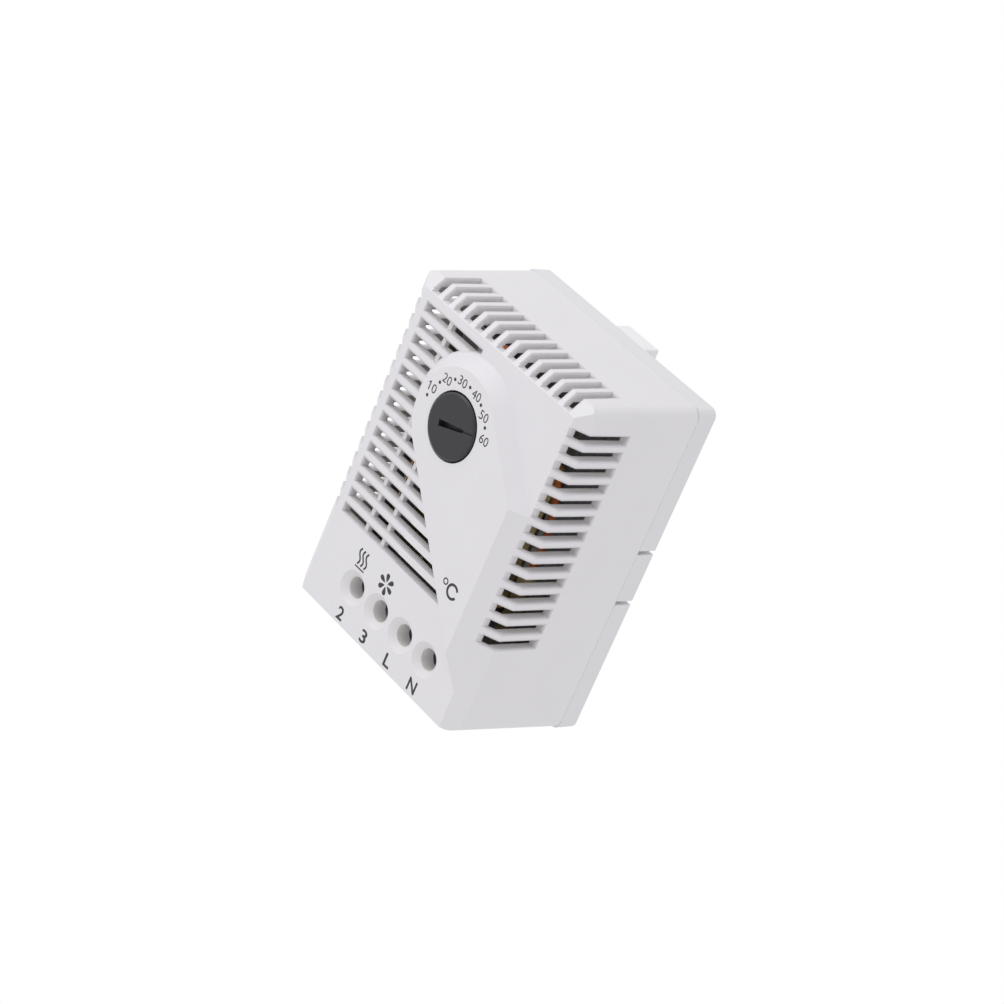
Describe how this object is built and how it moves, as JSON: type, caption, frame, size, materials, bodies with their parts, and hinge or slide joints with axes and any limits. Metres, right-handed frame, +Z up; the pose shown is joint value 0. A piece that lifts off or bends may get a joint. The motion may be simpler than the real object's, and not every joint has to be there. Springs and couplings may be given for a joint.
{
  "type": "din rail thermostat",
  "caption": "Compact louvred control-cabinet thermostat for a 35 mm rail: slotted setting dial, bimetal snap switch and four bottom-entry cage-clamp terminals.",
  "frame": {"origin": "centre of the rail seat: mid-width, on the front face of the mounting rail, on the rail's centre line", "axes": "+X along the rail, to the right seen from the front; +Y from the dial towards the rail; +Z up as mounted"},
  "size_m": [0.05, 0.037, 0.067],
  "materials": {
    "housing": "fine-eroded off-white moulding",
    "base_plastic": "fine-eroded off-white moulding",
    "knob_plastic": "satin anthracite moulding",
    "block_plastic": "dark grey moulding",
    "frame_plastic": "dark grey moulding",
    "lever_plastic": "black moulding",
    "pin_ceramic": "glazed ivory",
    "zinc_steel": "zinc plated",
    "spring_steel": "bright drawn wire",
    "bimetal": "rolled, one face copper-tinted",
    "contact_brass": "stamped",
    "bronze": "rolled spring bronze",
    "silver": "bright silver",
    "resistor_body": "cement coated",
    "tinned_wire": "tinned",
    "lead_sleeve": "orange insulation"
  },
  "bodies": {
    "case": {"front_hood": "housing", "rear_base": "base_plastic", "mechanism_frame": "frame_plastic", "frame_screws": "zinc_steel", "spindle_bush": "contact_brass", "lever_pin": "zinc_steel", "terminal_block": "block_plastic", "heating_contact": "silver", "cooling_contact": "silver", "heating_rail": "contact_brass", "cooling_rail": "contact_brass", "live_rail": "contact_brass", "neutral_rail": "contact_brass", "feedback_resistor": "resistor_body", "resistor_leads": "tinned_wire", "jumper_lead": "lead_sleeve", "latch_spring": "spring_steel", "lever_spring": "spring_steel"},
    "latch": {"rail_latch": "base_plastic"},
    "dial": {"adjusting_knob": "knob_plastic", "cam_spindle": "contact_brass", "spindle_circlip": "spring_steel", "knob_washer": "zinc_steel"},
    "lever": {"set_lever": "lever_plastic", "calibration_screw": "contact_brass"},
    "strip": {"bimetal_strip": "bimetal", "bimetal_rivets": "zinc_steel"},
    "pin": {"push_pin": "pin_ceramic"},
    "blade": {"snap_blade": "bronze", "moving_contact": "silver", "blade_rivet": "zinc_steel"},
    "screw_2": {"terminal_screw_2": "zinc_steel"},
    "screw_3": {"terminal_screw_3": "zinc_steel"},
    "screw_l": {"terminal_screw_l": "zinc_steel"},
    "screw_n": {"terminal_screw_n": "zinc_steel"},
    "cage_2": {"clamp_cage_2": "zinc_steel"},
    "cage_3": {"clamp_cage_3": "zinc_steel"},
    "cage_l": {"clamp_cage_l": "zinc_steel"},
    "cage_n": {"clamp_cage_n": "zinc_steel"}
  },
  "joints": [
    {"name": "dial_turn", "type": "hinge", "parent": "case", "child": "dial", "pos_m": [-0.00055, -0.02, 0.01465], "axis": [0, -1, 0], "range_deg": [0, 154.5]},
    {"name": "lever_tilt", "type": "hinge", "parent": "case", "child": "lever", "pos_m": [-0.011, -0.0175, 0.024], "axis": [0, 1, 0], "range_deg": [0, 3.68], "deforming": ["lever_spring"]},
    {"name": "strip_bend", "type": "hinge", "parent": "lever", "child": "strip", "pos_m": [-0.0124, -0.0175, 0.02135], "axis": [0, 1, 0], "range_deg": [0, 1.1]},
    {"name": "pin_push", "type": "slide", "parent": "case", "child": "pin", "axis": [-1, 0, 0], "range_m": [0, 0.0005]},
    {"name": "blade_flex", "type": "hinge", "parent": "case", "child": "blade", "pos_m": [-0.01835, -0.0175, 0.0105], "axis": [0, 1, 0], "range_deg": [0, 1.98]},
    {"name": "latch_slide", "type": "slide", "parent": "case", "child": "latch", "axis": [0, 0, 1], "range_m": [0, 0.0024], "stiffness_N_per_m": 900, "springref_m": -0.0015, "deforming": ["latch_spring"]},
    {"name": "screw_2_turn", "type": "hinge", "parent": "case", "child": "screw_2", "pos_m": [-0.0101, -0.02, -0.0252], "axis": [0, 1, 0], "range_deg": [0, 1800]},
    {"name": "screw_3_turn", "type": "hinge", "parent": "case", "child": "screw_3", "pos_m": [-0.0026, -0.02, -0.0252], "axis": [0, 1, 0], "range_deg": [0, 1800]},
    {"name": "screw_l_turn", "type": "hinge", "parent": "case", "child": "screw_l", "pos_m": [0.0049, -0.02, -0.0252], "axis": [0, 1, 0], "range_deg": [0, 1800]},
    {"name": "screw_n_turn", "type": "hinge", "parent": "case", "child": "screw_n", "pos_m": [0.0124, -0.02, -0.0252], "axis": [0, 1, 0], "range_deg": [0, 1800]},
    {"name": "cage_2_draw", "type": "slide", "parent": "case", "child": "cage_2", "axis": [0, -1, 0], "range_m": [0, 0.0025]},
    {"name": "cage_3_draw", "type": "slide", "parent": "case", "child": "cage_3", "axis": [0, -1, 0], "range_m": [0, 0.0025]},
    {"name": "cage_l_draw", "type": "slide", "parent": "case", "child": "cage_l", "axis": [0, -1, 0], "range_m": [0, 0.0025]},
    {"name": "cage_n_draw", "type": "slide", "parent": "case", "child": "cage_n", "axis": [0, -1, 0], "range_m": [0, 0.0025]}
  ],
  "couplings": [
    {"joint": "lever_tilt", "follows": "dial_turn", "ratio": 0.02376},
    {"joint": "pin_push", "follows": "strip_bend", "m_per_rad": 0.0259},
    {"joint": "blade_flex", "follows": "strip_bend", "ratio": 1.796},
    {"joint": "screw_2_turn", "follows": "cage_2_draw", "rad_per_m": 12566},
    {"joint": "screw_3_turn", "follows": "cage_3_draw", "rad_per_m": 12566},
    {"joint": "screw_l_turn", "follows": "cage_l_draw", "rad_per_m": 12566},
    {"joint": "screw_n_turn", "follows": "cage_n_draw", "rad_per_m": 12566}
  ]
}
